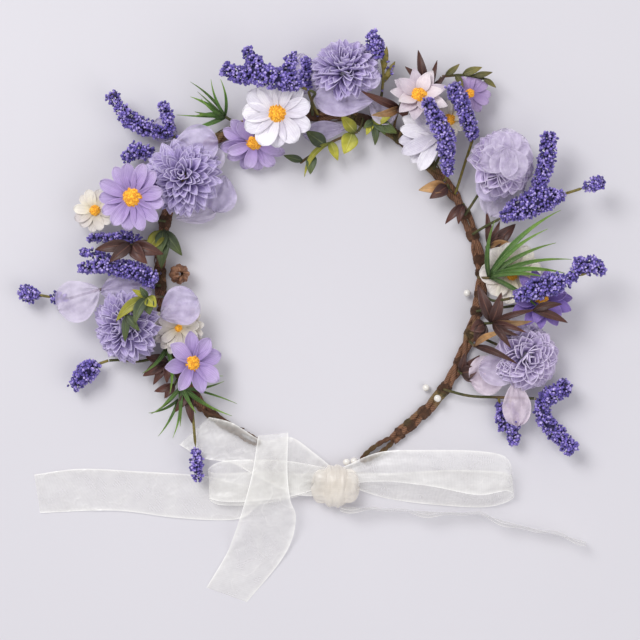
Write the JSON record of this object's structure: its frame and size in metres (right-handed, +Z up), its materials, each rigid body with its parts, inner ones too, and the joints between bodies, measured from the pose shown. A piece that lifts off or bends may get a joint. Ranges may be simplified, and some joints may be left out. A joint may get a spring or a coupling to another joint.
{
  "type": "flower crown",
  "caption": "Head garland with a bendable wire-cored vine band, cloth flowers, lavender sprigs, leaves and an organza ribbon that ties its ends.",
  "frame": {"origin": "middle of the head opening, on the surface the crown lies on", "axes": "+Z up through the head opening, the side the flowers face; +Y away from the ribbon bow; +X to the right of someone who looks down on the crown with the bow nearest them"},
  "size_m": [0.3378, 0.33, 0.0438],
  "materials": {
    "core_wire": "annealed wire",
    "vine": "twisted paper wrap",
    "tape": "crepe floral tape",
    "stem_wrap": "paper wrapped wire",
    "pearl": "pearlescent",
    "petal_lilac": "pressed cloth",
    "petal_violet": "pressed cloth",
    "petal_pale": "pressed cloth",
    "petal_white": "pressed cloth",
    "petal_cream": "pressed cloth",
    "floret_yellow": "flocked",
    "chiffon": "sheer",
    "lavender": "moulded florets",
    "leaf_green": "moulded",
    "leaf_olive": "moulded",
    "leaf_brown": "pressed cloth",
    "grass": "moulded",
    "pod": "matte",
    "organza": "sheer organza",
    "organza_knot": "sheer organza, gathered"
  },
  "bodies": {
    "band": {"core_wire": "core_wire", "vine_strands": "vine", "right_eye_loop": "vine", "pearl_beads": "pearl", "daisy_lavender_left": "petal_lilac", "daisy_lavender_top": "petal_lilac", "daisy_lavender_lower_left": "petal_lilac", "daisy_violet_right": "petal_violet", "daisy_pale_top_right": "petal_pale", "daisy_white_top": "petal_white", "daisy_white_tall": "petal_white", "daisy_cream_right": "petal_cream", "daisy_cream_small": "petal_cream", "mum_cream_left": "petal_cream", "daisy_cream_back": "petal_cream", "daisy_white_side": "petal_white", "daisy_centres": "floret_yellow", "pompon_top": "petal_lilac", "pompon_left_upper": "petal_lilac", "pompon_left_lower": "petal_lilac", "pompon_right_upper": "petal_lilac", "pompon_right_lower": "petal_pale", "chiffon_top": "chiffon", "chiffon_left_upper": "chiffon", "chiffon_left_lower": "chiffon", "chiffon_right_upper": "chiffon", "chiffon_right_lower": "chiffon", "lavender_left_cluster": "lavender", "lavender_top_cluster": "lavender", "lavender_right_hanging": "lavender", "lavender_ribbon_end": "lavender", "grass_tuft_right": "grass", "grass_tuft_left": "grass", "eucalyptus_leaves": "leaf_green", "brown_leaves_right": "leaf_brown", "brown_leaves_left": "leaf_brown", "seed_pod": "pod", "flower_stems": "stem_wrap", "binding_tapes": "tape", "ribbon_bridge": "organza", "ribbon_knot": "organza_knot", "ribbon_right_loop": "organza", "ribbon_left_loop": "organza", "ribbon_left_tail": "organza", "ribbon_centre_tail": "organza", "ribbon_right_tail": "organza"},
    "left_arm": {"left_core_wire": "core_wire", "left_vine_strands": "vine", "left_eye_loop": "vine"},
    "lavender_left_upper_body": {"lavender_left_upper": "lavender"},
    "lavender_top_left_body": {"lavender_top_left": "lavender"},
    "lavender_top_body": {"lavender_top": "lavender"},
    "lavender_right_upper_body": {"lavender_right_upper": "lavender"},
    "lavender_right_mid_body": {"lavender_right_mid": "lavender"},
    "lavender_right_lower_body": {"lavender_right_lower": "lavender"},
    "lavender_left_outer_body": {"lavender_left_outer": "lavender"},
    "lavender_left_lower_body": {"lavender_left_lower": "lavender"},
    "eucalyptus_sprig_body": {"eucalyptus_sprig": "leaf_green"},
    "leaf_sprig_top_right_body": {"leaf_sprig_top_right": "leaf_olive"},
    "grass_tuft_top_left_body": {"grass_tuft_top_left": "grass"}
  },
  "joints": [
    {"name": "left_arm_flex", "type": "hinge", "parent": "band", "child": "left_arm", "pos_m": [-0.0727, -0.0674, 0.00305], "axis": [0, 0, 1], "range_deg": [-6, 6]},
    {"name": "lavender_left_upper_bend", "type": "hinge", "parent": "band", "child": "lavender_left_upper_body", "pos_m": [-0.087, 0.089, 0.009], "axis": [0.28, 0.96, 0], "range_deg": [0, 20]},
    {"name": "lavender_top_left_bend", "type": "hinge", "parent": "band", "child": "lavender_top_left_body", "pos_m": [-0.01, 0.114, 0.0325], "axis": [0.3312, 0.9435, 0], "range_deg": [0, 20]},
    {"name": "lavender_top_bend", "type": "hinge", "parent": "band", "child": "lavender_top_body", "pos_m": [0.033, 0.115, 0.014], "axis": [0.995, 0.0995, 0], "range_deg": [0, 20]},
    {"name": "lavender_right_upper_bend", "type": "hinge", "parent": "band", "child": "lavender_right_upper_body", "pos_m": [0.101, 0.041, 0.013], "axis": [0.4311, -0.9023, 0], "range_deg": [0, 8]},
    {"name": "lavender_right_mid_bend", "type": "hinge", "parent": "band", "child": "lavender_right_mid_body", "pos_m": [0.106, -0.005, 0.03], "axis": [0.2707, -0.9626, 0], "range_deg": [0, 20]},
    {"name": "lavender_right_lower_bend", "type": "hinge", "parent": "band", "child": "lavender_right_lower_body", "pos_m": [0.122, -0.063, 0.01], "axis": [-0.2, -0.9798, 0], "range_deg": [0, 20]},
    {"name": "lavender_left_outer_bend", "type": "hinge", "parent": "band", "child": "lavender_left_outer_body", "pos_m": [-0.149, -0.005, 0.009], "axis": [0.0896, 0.996, 0], "range_deg": [0, 20]},
    {"name": "lavender_left_lower_bend", "type": "hinge", "parent": "band", "child": "lavender_left_lower_body", "pos_m": [-0.126, -0.041, 0.0084], "axis": [-0.6, 0.8, 0], "range_deg": [0, 20]},
    {"name": "eucalyptus_sprig_bend", "type": "hinge", "parent": "band", "child": "eucalyptus_sprig_body", "pos_m": [0.019, 0.092, 0.0095], "axis": [-0.3489, 0.9371, 0], "range_deg": [0, 20]},
    {"name": "leaf_sprig_top_right_bend", "type": "hinge", "parent": "band", "child": "leaf_sprig_top_right_body", "pos_m": [0.068, 0.124, 0.011], "axis": [0, -1, 0], "range_deg": [0, 20]},
    {"name": "grass_tuft_top_left_bend", "type": "hinge", "parent": "band", "child": "grass_tuft_top_left_body", "pos_m": [-0.055, 0.099, 0.0085], "axis": [0.5101, 0.8601, 0], "range_deg": [0, 20]}
  ]
}
